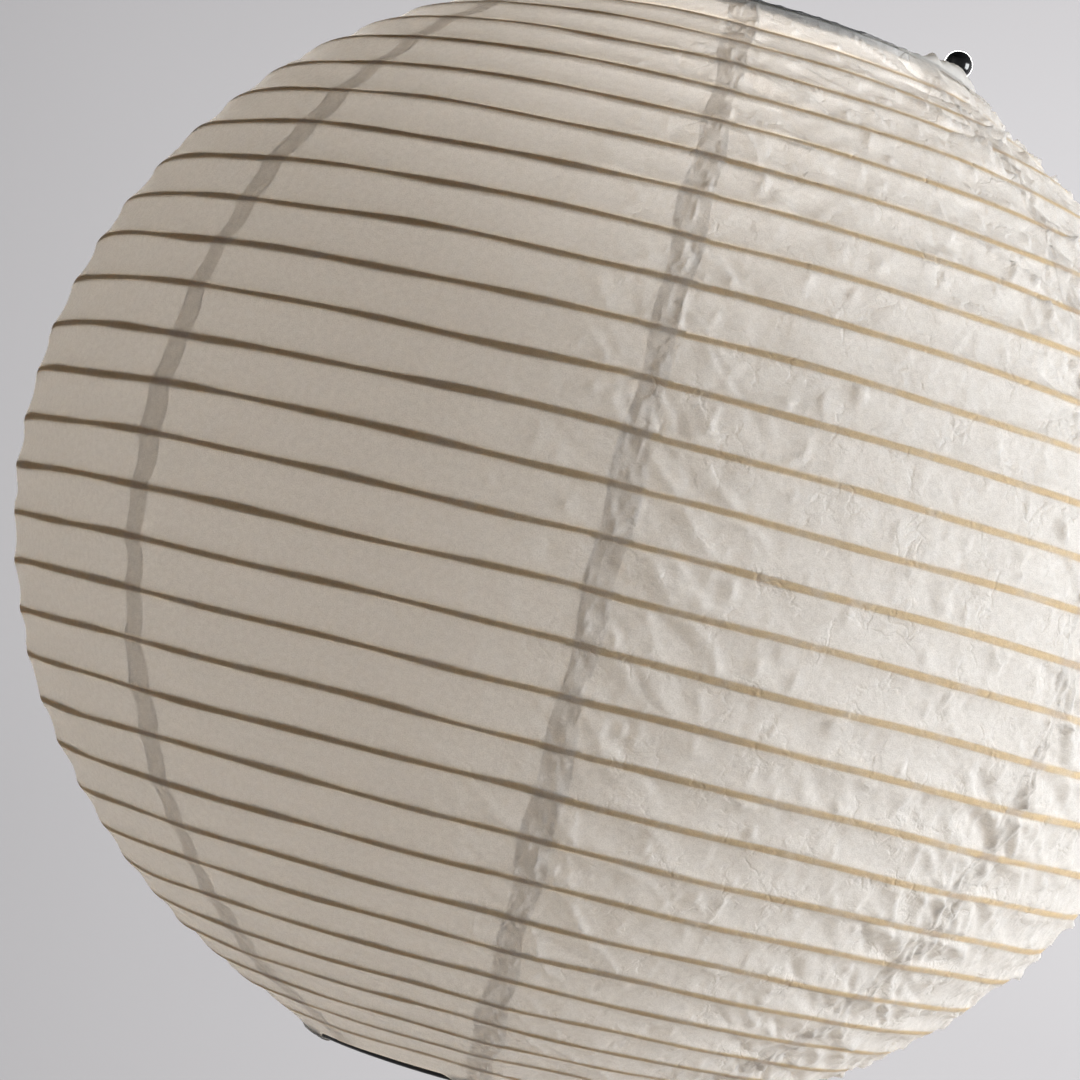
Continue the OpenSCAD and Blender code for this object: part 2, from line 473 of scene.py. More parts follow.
def facet_height(x, y, cell_x, cell_y, lean, seed):
    """Flat facets with sharp edges, from -1 to 1, as handled paper has. lean turns the cells."""
    picks = np.random.default_rng(seed)
    corner = picks.uniform(-1, 1, (FACET_CELLS, FACET_CELLS))
    flip = picks.random((FACET_CELLS, FACET_CELLS)) < 0.5
    warp = picks.uniform(0, TURN, 4)
    u = (x * math.cos(lean) + y * math.sin(lean)) / cell_x
    v = (y * math.cos(lean) - x * math.sin(lean)) / cell_y
    u, v = (u + 0.42 * np.sin(1.9 * v + warp[0]) + 0.3 * np.sin(0.83 * v + 1.3 * u + warp[1]),
            v + 0.38 * np.sin(2.1 * u + warp[2]) + 0.3 * np.sin(0.71 * u - 1.1 * v + warp[3]))
    i, j = np.floor(u).astype(int), np.floor(v).astype(int)
    fu, fv = u - i, v - j
    turned = flip[i % FACET_CELLS, j % FACET_CELLS]
    fu = np.where(turned, 1 - fu, fu)
    left = np.where(turned, i + 1, i) % FACET_CELLS
    right = np.where(turned, i, i + 1) % FACET_CELLS
    top, low = j % FACET_CELLS, (j + 1) % FACET_CELLS
    upper = corner[left, top] + fu * (corner[right, top] - corner[left, top]) + fv * (
        corner[right, low] - corner[right, top])
    lower = corner[left, top] + fv * (corner[left, low] - corner[left, top]) + fu * (
        corner[right, low] - corner[left, low])
    return np.where(fu > fv, upper, lower)


def facets_at(azimuth, along):
    """Faceting of the whole shade, faded out where the two ends of the pattern meet at the back."""
    turned = turned_from_front(azimuth)
    x = turned * shade_radius(along)
    strength = crumple_at(azimuth) * smooth_step(math.pi - 0.01, math.pi - 0.06, np.abs(turned))
    fine = facet_height(x, along, 6.5 * MM, 13 * MM, 0.25, 5)
    broad = facet_height(x, along, 24 * MM, 11 * MM, 0.65, 6)
    return strength * (0.6 * fine + 0.9 * broad) * MM


def band_sag(band, azimuth):
    """How deep the paper hangs in between two hoops."""
    uneven = drift(azimuth, 400 + band, (5, 9, 16, 27, 41), SCALLOP_DRIFT) * (0.35 + crumple_at(azimuth))
    return (SCALLOP_DEPTH + uneven) * (SCALLOP_AT_RINGS if band in (0, hoop_count) else 1.0)


def paper_surface(azimuth):
    """The paper on a grid of azimuths with one row per row_level: its points [radius, height]
    without creases and sag, its outward normals, the height that creases and sag add, the
    distance from the nearest hoop, and the distance down the shade."""
    points = np.zeros((*azimuth.shape, 2))
    gap = np.zeros_like(azimuth)
    sag = np.zeros_like(azimuth)
    for row, level in enumerate(row_level):
        band = min(int(level + 1e-9), last_level - 1)
        t = level - band
        high = ridge_point(band, azimuth[row])
        low = ridge_point(band + 1, azimuth[row])
        chord = low - high
        length = np.linalg.norm(chord, axis=-1)
        points[row] = high + t * chord
        gap[row] = min(t, 1 - t) * length
        # the paper lies flat where it is glued on a strip, and hangs in between
        share = np.clip((t * length - GLUED_HALF) / (length - 2 * GLUED_HALF), 0, 1)
        sag[row] = band_sag(band, azimuth[row]) * 4 * share * (1 - share)
    along = np.repeat(row_along[:, None], azimuth.shape[1], 1)
    free = smooth_step(GLUED_HALF, FREE_FROM, gap)
    height = (crease_height(azimuth, along) + facets_at(azimuth, along)) * free - sag
    tangent = np.gradient(points, axis=0)
    tangent /= np.linalg.norm(tangent, axis=-1)[..., None]
    normal = np.stack([-tangent[..., 1], tangent[..., 0]], -1)
    return points, normal, height, gap, along


def gore_azimuths(centre):
    """Azimuths of a gore's grid, with laps of the same width all the way down."""
    wobble = 1.0 * MM * np.sin(row_along / (9.5 * MM) + 3 * centre)
    wobble = wobble + 0.9 * MM * np.sin(row_along / (23 * MM))
    half = gore_angle / 2 + (LAP_HALF + wobble) / row_radius
    return centre + half[:, None] * column_places[None, :]


def make_gore(index, name):
    """One paper gore. Every second gore lies over the edges of its neighbours."""
    centre = (index + 0.5) * gore_angle
    azimuth = gore_azimuths(centre)
    points, normal, height, gap, along = paper_surface(azimuth)
    from_seam = (1 - np.abs(azimuth - centre) / (gore_angle / 2)) * row_radius[:, None] * gore_angle / 2
    over = 1.0 if index % 2 else 0.0
    height = height + over * LAYER_STEP * smooth_step(22 * MM, 8 * MM, from_seam)
    points = points + normal * height[..., None]
    world = on_axis(azimuth, points[..., 0], points[..., 1])
    across = (azimuth - centre) * row_radius[:, None]
    paper_map = np.stack([across, along, np.full_like(azimuth, index)], -1)
    return mesh_object(name, world, grid_faces(*azimuth.shape, False)[:, ::-1], {
        "paper_map": paper_map,
        "hoop_gap": gap,
        "seam_gap": np.abs(from_seam),
        "crumple": crumple_at(azimuth),
    })


# ------------------------------------------------------------------------------ materials


def add_node(tree, kind, inputs=None, **settings):
    """A shader node with its settings. Each input is a value, or a socket that is linked to it."""
    node = tree.nodes.new("ShaderNode" + kind)
    for key, value in settings.items():
        setattr(node, key, value)
    for key, value in (inputs or {}).items():
        socket = node.inputs[key]
        if isinstance(value, bpy.types.NodeSocket):
            tree.links.new(value, socket)
        else:
            socket.default_value = value
    return node


def new_material(name):
    material = bpy.data.materials.new(name)
    material.use_nodes = True
    material.node_tree.nodes.clear()
    return material, material.node_tree


def set_surface(tree, shader):
    add_node(tree, "OutputMaterial", {"Surface": shader})


def principled(tree, **inputs):
    """A principled shader. The names of its inputs are written with _ for each space."""
    return add_node(tree, "BsdfPrincipled", {
        key.replace("_", " "): value for key, value in inputs.items()}).outputs[0]


def bump(tree, height, strength, distance, under=None):
    """The normal of a surface with these bumps on it, over the bumps of the normal under."""
    inputs = {"Height": height, "Strength": strength, "Distance": distance}
    if under is not None:
        inputs["Normal"] = under
    return add_node(tree, "Bump", inputs).outputs["Normal"]


def blend_light(tree, share, lit, colour, normal):
    """Mixes a share of light that comes through in this colour with the shader lit."""
    shining = add_node(tree, "BsdfTranslucent", {"Color": colour, "Normal": normal}).outputs[0]
    return add_node(tree, "MixShader", {0: share, 1: lit, 2: shining}).outputs[0]


def grey_of(tree, value):
    return add_node(tree, "CombineColor", {0: value, 1: value, 2: value}).outputs["Color"]


def noise(tree, vector, scale, detail=3.0, roughness=0.55, distortion=0.0):
    return add_node(tree, "TexNoise", {
        "Vector": vector, "Scale": scale, "Detail": detail,
        "Roughness": roughness, "Distortion": distortion,
    }).outputs["Fac"]


def ramp(tree, value, low, high, to_low=0.0, to_high=1.0):
    return add_node(tree, "MapRange", {
        "Value": value, "From Min": low, "From Max": high, "To Min": to_low, "To Max": to_high,
    }, interpolation_type="SMOOTHSTEP").outputs["Result"]


def math_node(tree, operation, a, b=0.0):
    return add_node(tree, "Math", {0: a, 1: b}, operation=operation).outputs["Value"]


def mix_colour(tree, share, a, b, blend="MIX"):
    return add_node(tree, "Mix", {0: share, 6: a, 7: b}, data_type="RGBA", blend_type=blend).outputs[2]


def scaled(tree, vector, x, y, z):
    return add_node(tree, "Mapping", {"Vector": vector, "Scale": (x, y, z)}).outputs["Vector"]


def read_map(tree, name):
    return add_node(tree, "Attribute", attribute_name=name).outputs["Vector"]


def read_value(tree, name):
    return add_node(tree, "Attribute", attribute_name=name).outputs["Fac"]


# Colours of light that paper scatters back and lets through, and a painted shade: the dark grey of the
# black wire seen through the edge paper, with the wire's shadow on the paper painted in too
PAPER_FRONT = (0.855, 0.855, 0.85, 1)
PAPER_THROUGH = (0.962, 0.918, 0.862, 1)
EDGE_FRONT = (0.83, 0.82, 0.80, 1)
EDGE_THROUGH = (0.95, 0.91, 0.85, 1)
PAINTED_WIRE_SHADE = (0.085, 0.088, 0.092, 1)
# The share of light that comes through plain paper, through glued paper and through laps
PAPER_SHARE_THROUGH = 0.47
GLUED_SHARE_THROUGH = 0.81
LAP_SHARE_THROUGH = 0.55
FIBRE_BUMP = 0.35
FIBRE_DEPTH = 0.08 * MM
# Split bamboo: pale, paler, stained, and the light that comes through it
BAMBOO_PALE = (0.86, 0.645, 0.27, 1)
BAMBOO_PALER = (0.96, 0.795, 0.44, 1)
BAMBOO_STAIN = (0.74, 0.53, 0.20, 1)
BAMBOO_THROUGH = (0.77, 0.46, 0.08, 1)
BAMBOO_SHARE_THROUGH = 0.17
STRETCHER_BLACK = (0.028, 0.028, 0.03, 1)
RING_BLACK = (0.022, 0.022, 0.024, 1)
RUBBED = (0.12, 0.115, 0.11, 1)
VINYL_BLACK = (0.012, 0.012, 0.013, 1)
DUST = (0.08, 0.08, 0.08, 1)
BACKDROP = (0.22, 0.218, 0.2205, 1)


def fibre_lines(tree, place, scale, thickness):
    """Thin curved fibres lying every way, 1 on a fibre and 0 beside it."""
    field = noise(tree, place, scale, 1.0, 0.4, 1.6)
    off_line = math_node(tree, "ABSOLUTE", math_node(tree, "SUBTRACT", field, 0.5))
    return ramp(tree, off_line, thickness, 0.0)


def paper_fibres(tree, place):
    """Clouds of pulp, specks and long thin fibres."""
    clouds = noise(tree, place, 330.0, 4.0, 0.6)
    specks = noise(tree, place, 1700.0, 2.0, 0.6)
    long_fibres = fibre_lines(tree, place, 210.0, 0.012)
    short_fibres = fibre_lines(tree, place, 520.0, 0.02)
    return clouds, specks, math_node(tree, "MAXIMUM", long_fibres, short_fibres)


def crinkle_lines(tree, place):
    """Thin crooked lines, 1 on a line and 0 beside it."""
    field = add_node(tree, "TexNoise", {"Vector": place, "Scale": 130.0, "Detail": 3.0})
    centred = add_node(tree, "VectorMath", {
        0: field.outputs["Color"], 1: (0.5, 0.5, 0.5)}, operation="SUBTRACT")
    shaken = add_node(tree, "VectorMath", {
        0: centred.outputs[0], 1: (14 * MM,) * 3, 2: place}, operation="MULTIPLY_ADD")
    cells = add_node(tree, "TexVoronoi", {
        "Vector": shaken.outputs[0], "Scale": 80.0, "Randomness": 1.0}, feature="DISTANCE_TO_EDGE")
    return ramp(tree, cells.outputs["Distance"], 0.14, 0.0)


def paper_material():
    """Thin paper that scatters light on both sides. Glue makes it more translucent."""
    material, tree = new_material("washi_paper")
    place = read_map(tree, "paper_map")
    clouds, specks, fibres = paper_fibres(tree, place)
    tone = ramp(tree, clouds, 0.3, 0.7, 0.91, 1.0)
    tone = math_node(tree, "ADD", tone, ramp(tree, specks, 0.3, 0.7, -0.085, 0.085))
    tone = grey_of(tree, math_node(tree, "ADD", tone, ramp(tree, fibres, 0.0, 1.0, 0.0, -0.035)))
    front = mix_colour(tree, 1.0, PAPER_FRONT, tone, "MULTIPLY")
    through = mix_colour(tree, 1.0, PAPER_THROUGH, tone, "MULTIPLY")
    patches = noise(tree, place, 70.0, 3.0, 0.6)
    on_strip = ramp(tree, read_value(tree, "hoop_gap"), 2.3 * MM, 1.5 * MM)
    on_strip = math_node(tree, "MULTIPLY", on_strip, ramp(tree, patches, 0.3, 0.6, 0.7, 1.0))
    wander = ramp(tree, patches, 0.3, 0.7, -2.2 * MM, 2.2 * MM)
    lap_edge = math_node(tree, "ADD", read_value(tree, "seam_gap"), wander)
    in_lap = ramp(tree, lap_edge, LAP_HALF + 0.8 * MM, LAP_HALF - 1.2 * MM)
    share = math_node(tree, "ADD", ramp(tree, clouds, 0.3, 0.7, 0.03, -0.03), PAPER_SHARE_THROUGH)
    share = math_node(tree, "MAXIMUM", share, ramp(tree, in_lap, 0, 1, 0, LAP_SHARE_THROUGH))
    share = math_node(tree, "MAXIMUM", share, ramp(tree, on_strip, 0, 1, 0, GLUED_SHARE_THROUGH))
    crumpled = read_value(tree, "crumple")
    in_places = ramp(tree, noise(tree, place, 45.0, 3.0), 0.48, 0.6, 0.03, 0.75)
    soft = noise(tree, place, 160.0, 3.0, 0.55, 0.8)
    normal = bump(tree, soft, ramp(tree, crumpled, 0.0, 1.0, 0.25, 0.8), 0.6 * MM)
    normal = bump(tree, crinkle_lines(tree, place), math_node(tree, "MULTIPLY", crumpled, in_places),
                  0.5 * MM, normal)
    normal = bump(tree, math_node(tree, "ADD", specks, fibres), FIBRE_BUMP, FIBRE_DEPTH, normal)
    lit = principled(tree, Base_Color=front, Roughness=0.72, Specular_IOR_Level=0.25, Normal=normal)
    set_surface(tree, blend_light(tree, share, lit, through, normal))
    return material


def edge_paper_material():
    """Crumpled paper round a wire. Where it is drawn over the black wire, a painted shade turns it dark
    grey and lets little light through: the wire seen through the paper, with its shadow painted in.
    """
    material, tree = new_material("edge_paper")
    place = read_map(tree, "paper_map")
    clouds, specks, fibres = paper_fibres(tree, place)
    mottle = ramp(tree, noise(tree, place, 420.0, 5.0, 0.7), 0.3, 0.62, 0.78, 1.0)
    # painted shade: the black wire seen through the paper and its shadow, mottled
    painted_shade = math_node(tree, "MULTIPLY", read_value(tree, "over_wire"), mottle)
    tone = grey_of(tree, ramp(tree, clouds, 0.3, 0.7, 0.9, 1.0))
    front = mix_colour(tree, 1.0, EDGE_FRONT, tone, "MULTIPLY")
    front = mix_colour(tree, painted_shade, front, PAINTED_WIRE_SHADE)
    normal = bump(tree, noise(tree, place, 420.0, 4.0, 0.6, 0.6), 0.6, 0.5 * MM)
    normal = bump(tree, math_node(tree, "ADD", specks, fibres), FIBRE_BUMP, FIBRE_DEPTH, normal)
    lit = principled(tree, Base_Color=front, Roughness=0.78, Specular_IOR_Level=0.18, Normal=normal)
    share = ramp(tree, painted_shade, 0.0, 1.0, 0.42, 0.02)
    set_surface(tree, blend_light(tree, share, lit, EDGE_THROUGH, normal))
    return material


def bamboo_material():
    """Split bamboo, with its grain along the strip and a few stained stretches."""
    material, tree = new_material("split_bamboo")
    place = read_map(tree, "piece_map")
    grain = noise(tree, scaled(tree, place, 0.03, 1.0, 1.0), 2600.0, 3.0, 0.6)
    length = noise(tree, scaled(tree, place, 1.0, 0.0, 1.0), 9.0, 3.0, 0.6)
    colour = mix_colour(tree, ramp(tree, grain, 0.3, 0.7), BAMBOO_PALE, BAMBOO_PALER)
    colour = mix_colour(tree, ramp(tree, length, 0.35, 0.7, 0.0, 0.45), colour, BAMBOO_STAIN)
    normal = bump(tree, grain, 0.5, 0.08 * MM)
    rough = ramp(tree, grain, 0.2, 0.8, 0.42, 0.62)
    lit = principled(tree, Base_Color=colour, Roughness=rough, Normal=normal)
    set_surface(tree, blend_light(tree, BAMBOO_SHARE_THROUGH, lit, BAMBOO_THROUGH, normal))
    return material


def lacquer_material(name, base, rough, grain_scale):
    """Black lacquer on wire: thin, slightly uneven, rubbed paler in places."""
    material, tree = new_material(name)
    place = add_node(tree, "TexCoord").outputs["Object"]
    uneven = noise(tree, place, grain_scale, 4.0)
    worn = ramp(tree, noise(tree, place, 90.0, 6.0, 0.7), 0.62, 0.72, 0.0, 0.6)
    set_surface(tree, principled(
        tree,
        Base_Color=mix_colour(tree, worn, base, RUBBED),
        Roughness=ramp(tree, uneven, 0.3, 0.7, rough - 0.07, rough + 0.1),
        Normal=bump(tree, uneven, 0.3, 0.06 * MM)))
    return material


def rubber_material():
    """Black dipped vinyl, glossy, with a few faint ripples and dust."""
    material, tree = new_material("dipped_vinyl")
    place = add_node(tree, "TexCoord").outputs["Object"]
    ripple = noise(tree, place, 140.0, 2.0)
    dust = ramp(tree, noise(tree, place, 2200.0, 3.0), 0.62, 0.75, 0.0, 0.25)
    set_surface(tree, principled(
        tree,
        Base_Color=mix_colour(tree, dust, VINYL_BLACK, DUST),
        Roughness=ramp(tree, dust, 0.0, 0.25, 0.13, 0.3),
        Normal=bump(tree, ripple, 0.25, 0.1 * MM),
        Coat_Weight=0.4,
        Coat_Roughness=0.06))
    return material


def stage_material():
    """A plain pale backdrop with a faint unevenness."""
    material, tree = new_material("pale_backdrop")
    place = add_node(tree, "TexCoord").outputs["Object"]
    tone = ramp(tree, noise(tree, place, 0.7, 2.0), 0.3, 0.7, 0.97, 1.0)
    colour = mix_colour(tree, 1.0, BACKDROP, grey_of(tree, tone), "MULTIPLY")
    set_surface(tree, principled(tree, Base_Color=colour, Roughness=0.9, Specular_IOR_Level=0.1))
    return material


# --------------------------------------------------------------------------- the pieces


def finish_piece(piece, material, body, slot, *nodes):
    """Gives a piece its material and its body, and hides the CAD nodes that it replaces. slot is not
    used.
    """
    piece.data.materials.append(material)
    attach(piece, body)
    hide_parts(*nodes)


def squash_with_fold(piece):
    """Gives a piece its own copy of its mesh."""
    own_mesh(piece)


paper = paper_material()
bamboo = bamboo_material()
wire_finish = lacquer_material("stretcher_lacquer", STRETCHER_BLACK, 0.36, 500.0)
ring_finish = lacquer_material("ring_lacquer", RING_BLACK, 0.4, 700.0)
rubber = rubber_material()
edge_paper = edge_paper_material()

# ---------------------------------------------------------------------------- bamboo hoops

STRIP_CORNERS = 14
HOOP_STEPS = 320
END_LAP = 9 * MM


def make_hoop(level, name):
    """A split bamboo strip bent into a ring, its two thinned ends side by side at the front seam."""
    centre = level_points[level]
    extra = END_LAP / centre[0]
    azimuth = np.linspace(-extra, TURN + extra, HOOP_STEPS)
    down, out = hoop_shift(level, azimuth)
    from_start, from_end = azimuth + extra, TURN + extra - azimuth
    ends = np.exp(-from_start / END_BLEND) - np.exp(-from_end / END_BLEND)
    down = down + END_OFFSET * ends
    thin = smooth_step(0, 2.6 * extra, np.minimum(from_start, from_end))
    half_height = strip_half_height(level, azimuth) * (0.58 + 0.42 * thin)
    half_depth = STRIP_HALF_DEPTH * (0.9 + 0.1 * thin)
    turn = full_turn(STRIP_CORNERS)
    shape_out = np.sign(np.cos(turn)) * np.abs(np.cos(turn)) ** 0.7
    shape_down = np.sign(np.sin(turn)) * np.abs(np.sin(turn)) ** 0.7
    across = out[:, None] + half_depth[:, None] * shape_out
    along = down[:, None] + half_height[:, None] * shape_down
    points = on_axis(azimuth[:, None], *off_level(level, across, along)).reshape(-1, 3)
    run = np.repeat((azimuth * centre[0])[:, None], STRIP_CORNERS, 1)
    around = np.repeat((turn * STRIP_HALF_HEIGHT)[None, :], HOOP_STEPS, 0)
    maps = np.stack([run, around, np.full_like(run, level)], -1).reshape(-1, 3)
    return closed_tube(name, points, maps, STRIP_CORNERS)


# --------------------------------------------------------------- rings and their edge paper

RING_STEPS = 360
RING_SIDES = 20
WELD_HALF = 2.2 * MM


def make_ring(name, level, seed):
    """A wire ring, a little out of true, with its butt weld at the back."""
    centre = level_points[level]
    azimuth = full_turn(RING_STEPS)
    turn = full_turn(RING_SIDES)
    from_weld = (azimuth - math.pi) * centre[0]
    swell = 1 + 0.14 * np.exp(-((from_weld / WELD_HALF) ** 2))
    out = drift(azimuth, seed, (2, 3, 5), 0.2 * MM)
    up = drift(azimuth, seed + 1, (2, 3, 4), 0.2 * MM)
    section = ring_wire_r * swell[:, None]
    points = on_axis(
        azimuth[:, None],
        centre[0] + out[:, None] + section * np.cos(turn),
        centre[1] + up[:, None] + section * np.sin(turn),
    )
    return mesh_object(name, points, torus_faces(RING_STEPS, RING_SIDES)[:, ::-1])


FOLD_R = ring_wire_r + 0.55 * MM
FLAP_ROWS = 12
WRAP_ROWS = 16
FLAP_REACH = 7 * MM
LEAST_FLAP = 0.8 * MM
RAGGED_END = 2.2 * MM
PLEATS = 210
EDGE_STEP = 1.1 * MM


def pleat_height(azimuth, share, radius, seed, count):
    """Sharp little pleats across a folded strip, sloping by share, a place across the strip."""
    picks = np.random.default_rng(seed)
    height = np.zeros(np.broadcast_shapes(azimuth.shape, share.shape))
    for _ in range(count):
        at, lean = picks.uniform(-math.pi, math.pi), picks.normal(0, 5) * MM
        width, rise = picks.uniform(0.8, 2.6) * MM, picks.uniform(0.15, 0.75) * MM
        x = turned_from_front(azimuth - at) * radius + lean * share
        height += rise * np.exp(-np.abs(x) / width)
    return height


def torn_edge(azimuth, seed, size):
    """A torn edge's wander, from long waves to short ones."""
    return drift(azimuth, seed, (5, 11, 23, 41, 67, 97, 143), size)


def make_edge_paper(name, level, start, end, shape, seed):
    """The strip that is folded round a ring's wire: an outer flap on the shade, a turn round
    the wire, and an inner flap. start and end are azimuths."""
    centre = level_points[level]
    next_level = 1 if level == 0 else level - 1
    inward = level_points[next_level] - centre
    inward /= np.linalg.norm(inward)
    outward = level_normal[level]
    columns = int(abs(end - start) * centre[0] / EDGE_STEP)
    whole = end - start > TURN - 1e-6
    picks = np.random.default_rng(seed)
    across = np.linspace(0, 1, columns, endpoint=not whole)
    rows = 2 * FLAP_ROWS + WRAP_ROWS
    share = np.linspace(-1, 1, rows)[:, None]
    knots = np.linspace(-1, 1, 9)
    ragged = 0 if whole else RAGGED_END / centre[0]
    jag = [np.interp(share[:, 0], knots, picks.uniform(-1, 1, len(knots))) for _ in range(2)]
    jag = ragged * np.stack(jag, 1)
    azimuth = start + jag[:, :1] + (end - start + jag[:, 1:] - jag[:, :1]) * across[None, :]
    outer = np.maximum(shape.flap(azimuth[0]) + torn_edge(azimuth[0], seed + 1, 0.5 * MM), LEAST_FLAP)
    inner = FLAP_REACH + torn_edge(azimuth[0], seed + 2, 1.3 * MM)
    crumple = pleat_height(azimuth, share, centre[0], seed + 5, PLEATS)
    points = np.zeros((rows, columns, 2))
    for row in range(rows):
        if row < FLAP_ROWS:
            x = outer * (1 - row / FLAP_ROWS)
            rise = FOLD_R + 0.5 * crumple[row] + shape.lift(azimuth[row]) * (x / FLAP_REACH) ** 2
        elif row >= rows - FLAP_ROWS:
            x = inner * (row - rows + FLAP_ROWS + 1) / FLAP_ROWS
            near = smooth_step(0, 6 * MM, x)
            rise = -FOLD_R * (1 - near) + (RING_PAPER_R - 1.6 * MM) * near - 0.4 * crumple[row]
        else:
            angle = math.pi * (row - FLAP_ROWS + 0.5) / WRAP_ROWS
            stand = shape.stand(azimuth[row]) * math.sin(angle) ** 1.5
            reach = FOLD_R + 0.45 * crumple[row] + stand * (0.8 + 0.35 * crumple[row] / MM)
            x, rise = -math.sin(angle) * reach, math.cos(angle) * reach
        points[row] = centre + x[:, None] * inward + rise[:, None] * outward
    # painted shade of the black wire and its shadow, strongest over the wire and fading across the strip
    dark = shape.dark(azimuth)
    over_wire = dark * np.exp(-((share / (0.36 + 0.75 * dark)) ** 4))
    world = on_axis(azimuth, points[..., 0], points[..., 1])
    paper_map = np.stack([
        azimuth * centre[0], share * 0.02 + 0 * azimuth, np.full_like(azimuth, seed)], -1)
    return mesh_object(name, world, grid_faces(rows, columns, whole), {
        "paper_map": paper_map, "over_wire": over_wire})


# Each shape below gives, at an azimuth, how far the outer flap reaches, how far its edge lifts off
# the shade, how far the paper stands up over the wire, and how strong its painted wire shade is.


class TopEdge:
    """The top edge paper: drawn tight over the wire at the front, where the wire's shade is painted
    dark on it, and a loose white lip at the right, which stands up in front of the grip ball."""

    @staticmethod
    def flap(azimuth):
        return np.interp(turned_degrees(azimuth), (-180, -70, -45, 35, 58, 110, 150, 180),
                         np.array((6, 5, 1.8, 1.8, 7, 9, 7, 6)) * MM)

    @staticmethod
    def lift(azimuth):
        return 2.6 * MM * np.exp(-(((turned_degrees(azimuth) - 84) / 17) ** 2)) + 0.4 * MM

    @staticmethod
    def stand(azimuth):
        at = turned_degrees(azimuth)
        height = (6.5 + 4.5 * np.exp(-(((at - 68) / 13) ** 2))) * MM
        return smooth_step(38, 60, at) * smooth_step(128, 94, at) * (
            height + drift(azimuth, 71, (9, 17, 31, 53), 1.1 * MM))

    # how strong the painted wire shade is at each azimuth
    @staticmethod
    def dark(azimuth):
        return np.interp(turned_degrees(azimuth), (-180, -110, -75, 26, 42, 120, 180),
                         (0.5, 0.5, 1, 1, 0.1, 0.1, 0.5))


class BottomEdge:
    """The bottom edge paper: torn open at the front left, and crinkled elsewhere."""

    @staticmethod
    def flap(azimuth):
        return np.interp(turned_degrees(azimuth), (-180, -60, -8, 8, 60, 180),
                         np.array((5, 2, 1.5, 4, 6, 5)) * MM)

    @staticmethod
    def lift(azimuth):
        return 0.4 * MM + 0 * azimuth

    @staticmethod
    def stand(azimuth):
        return 0.5 * MM + drift(azimuth, 73, (7, 15, 33), 0.35 * MM)

    # how strong the painted wire shade is all round
    @staticmethod
    def dark(azimuth):
        return 0.5 + 0 * azimuth


# The smallest radius in a turned outline, how far a wire stops short inside its cap, and the
# points along a straight wire
AXIS_R = 0.02 * MM
CAP_GAP = 1.5 * MM
WIRE_POINTS = 24
# The grain of the remesh that fuses an arm, and how often it is smoothed
FUSE_VOXEL = 0.45 * MM
FUSE_ROUNDS = 6


def stretcher_places(side):
    """Heights and distances of the stretcher on one side, from its CAD nodes."""
    (ball, ball_top), (cap, cap_top), (foot, foot_top), (arm, arm_top), (leg, leg_top) = (
        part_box(part + side) for part in ("grip_ball_", "arm_cap_", "foot_cap_", "arm_", "leg_"))
    ball_r = (ball_top.x - ball.x) / 2
    wire_r = (arm_top.y - arm.y) / 2
    return {
        "ball_r": ball_r,
        "ball_x": abs(ball.x + ball_top.x) / 2,
        "ball_z": ball_top.z - ball_r,
        "arm_z": middle(cap.z, cap_top.z),
        "foot_z": middle(foot.z, foot_top.z),
        "cap_r": (cap_top.z - cap.z) / 2,
        "cap_length": abs(cap_top.x - cap.x),
        "arm_end": max(abs(cap.x), abs(cap_top.x)),
        "foot_end": max(abs(foot.x), abs(foot_top.x)),
        "wire_r": wire_r,
        "arm_start": min(abs(arm.x), abs(arm_top.x)),
        "leg_x": min(abs(leg.x), abs(leg_top.x)) + wire_r,
    }


def fuse(name, parts):
    """Joins closed parts into one skin by remeshing, so that their joints fill like welds."""
    bpy.ops.object.select_all(action="DESELECT")
    for part in parts:
        part.select_set(True)
    bpy.context.view_layer.objects.active = parts[0]
    bpy.ops.object.join()
    whole = bpy.context.view_layer.objects.active
    whole.name = whole.data.name = name
    remesh = whole.modifiers.new("fuse", "REMESH")
    remesh.mode, remesh.voxel_size, remesh.use_smooth_shade = "VOXEL", FUSE_VOXEL, True
    smooth = whole.modifiers.new("smooth", "SMOOTH")
    smooth.iterations, smooth.factor = FUSE_ROUNDS, 0.5
    for modifier in ("fuse", "smooth"):
        bpy.ops.object.modifier_apply(modifier=modifier)
    return whole


def straight(start, end, count=WIRE_POINTS):
    """Evenly spaced points on a straight line."""
    return np.linspace(start, end, count)


def make_arm(side, sign, at):
    """The arm's wire on the lampholder ring, with its upright post and the weld beads."""
    r = at["wire_r"]
    start, end, height = at["arm_start"], at["arm_end"] - CAP_GAP, at["arm_z"]
    post_x, post_top = at["ball_x"], at["ball_z"] - 3 * MM
    wire = sweep("arm", straight((start, 0, height), (end, 0, height)), np.full(WIRE_POINTS, r))
    post = sweep("post", straight((post_x, 0, height), (post_x, 0, post_top)), np.full(WIRE_POINTS, r))
    beads = []
    for x, z, reach in ((post_x, height + r, 1.25), (start + 2 * MM, height - r, 1.1)):
        profile = arc((0, 0), reach * r, -90, 90, 12)
        profile[:, 1] *= 0.55
        profile[[0, -1], 0] = AXIS_R
        beads.append(lathe("bead", profile, Vector((x, 0, z)), (0, 0, 1), 24))
    arm = fuse("stretcher_arm_" + side, [wire, post, *beads])
    return on_side(arm, sign)


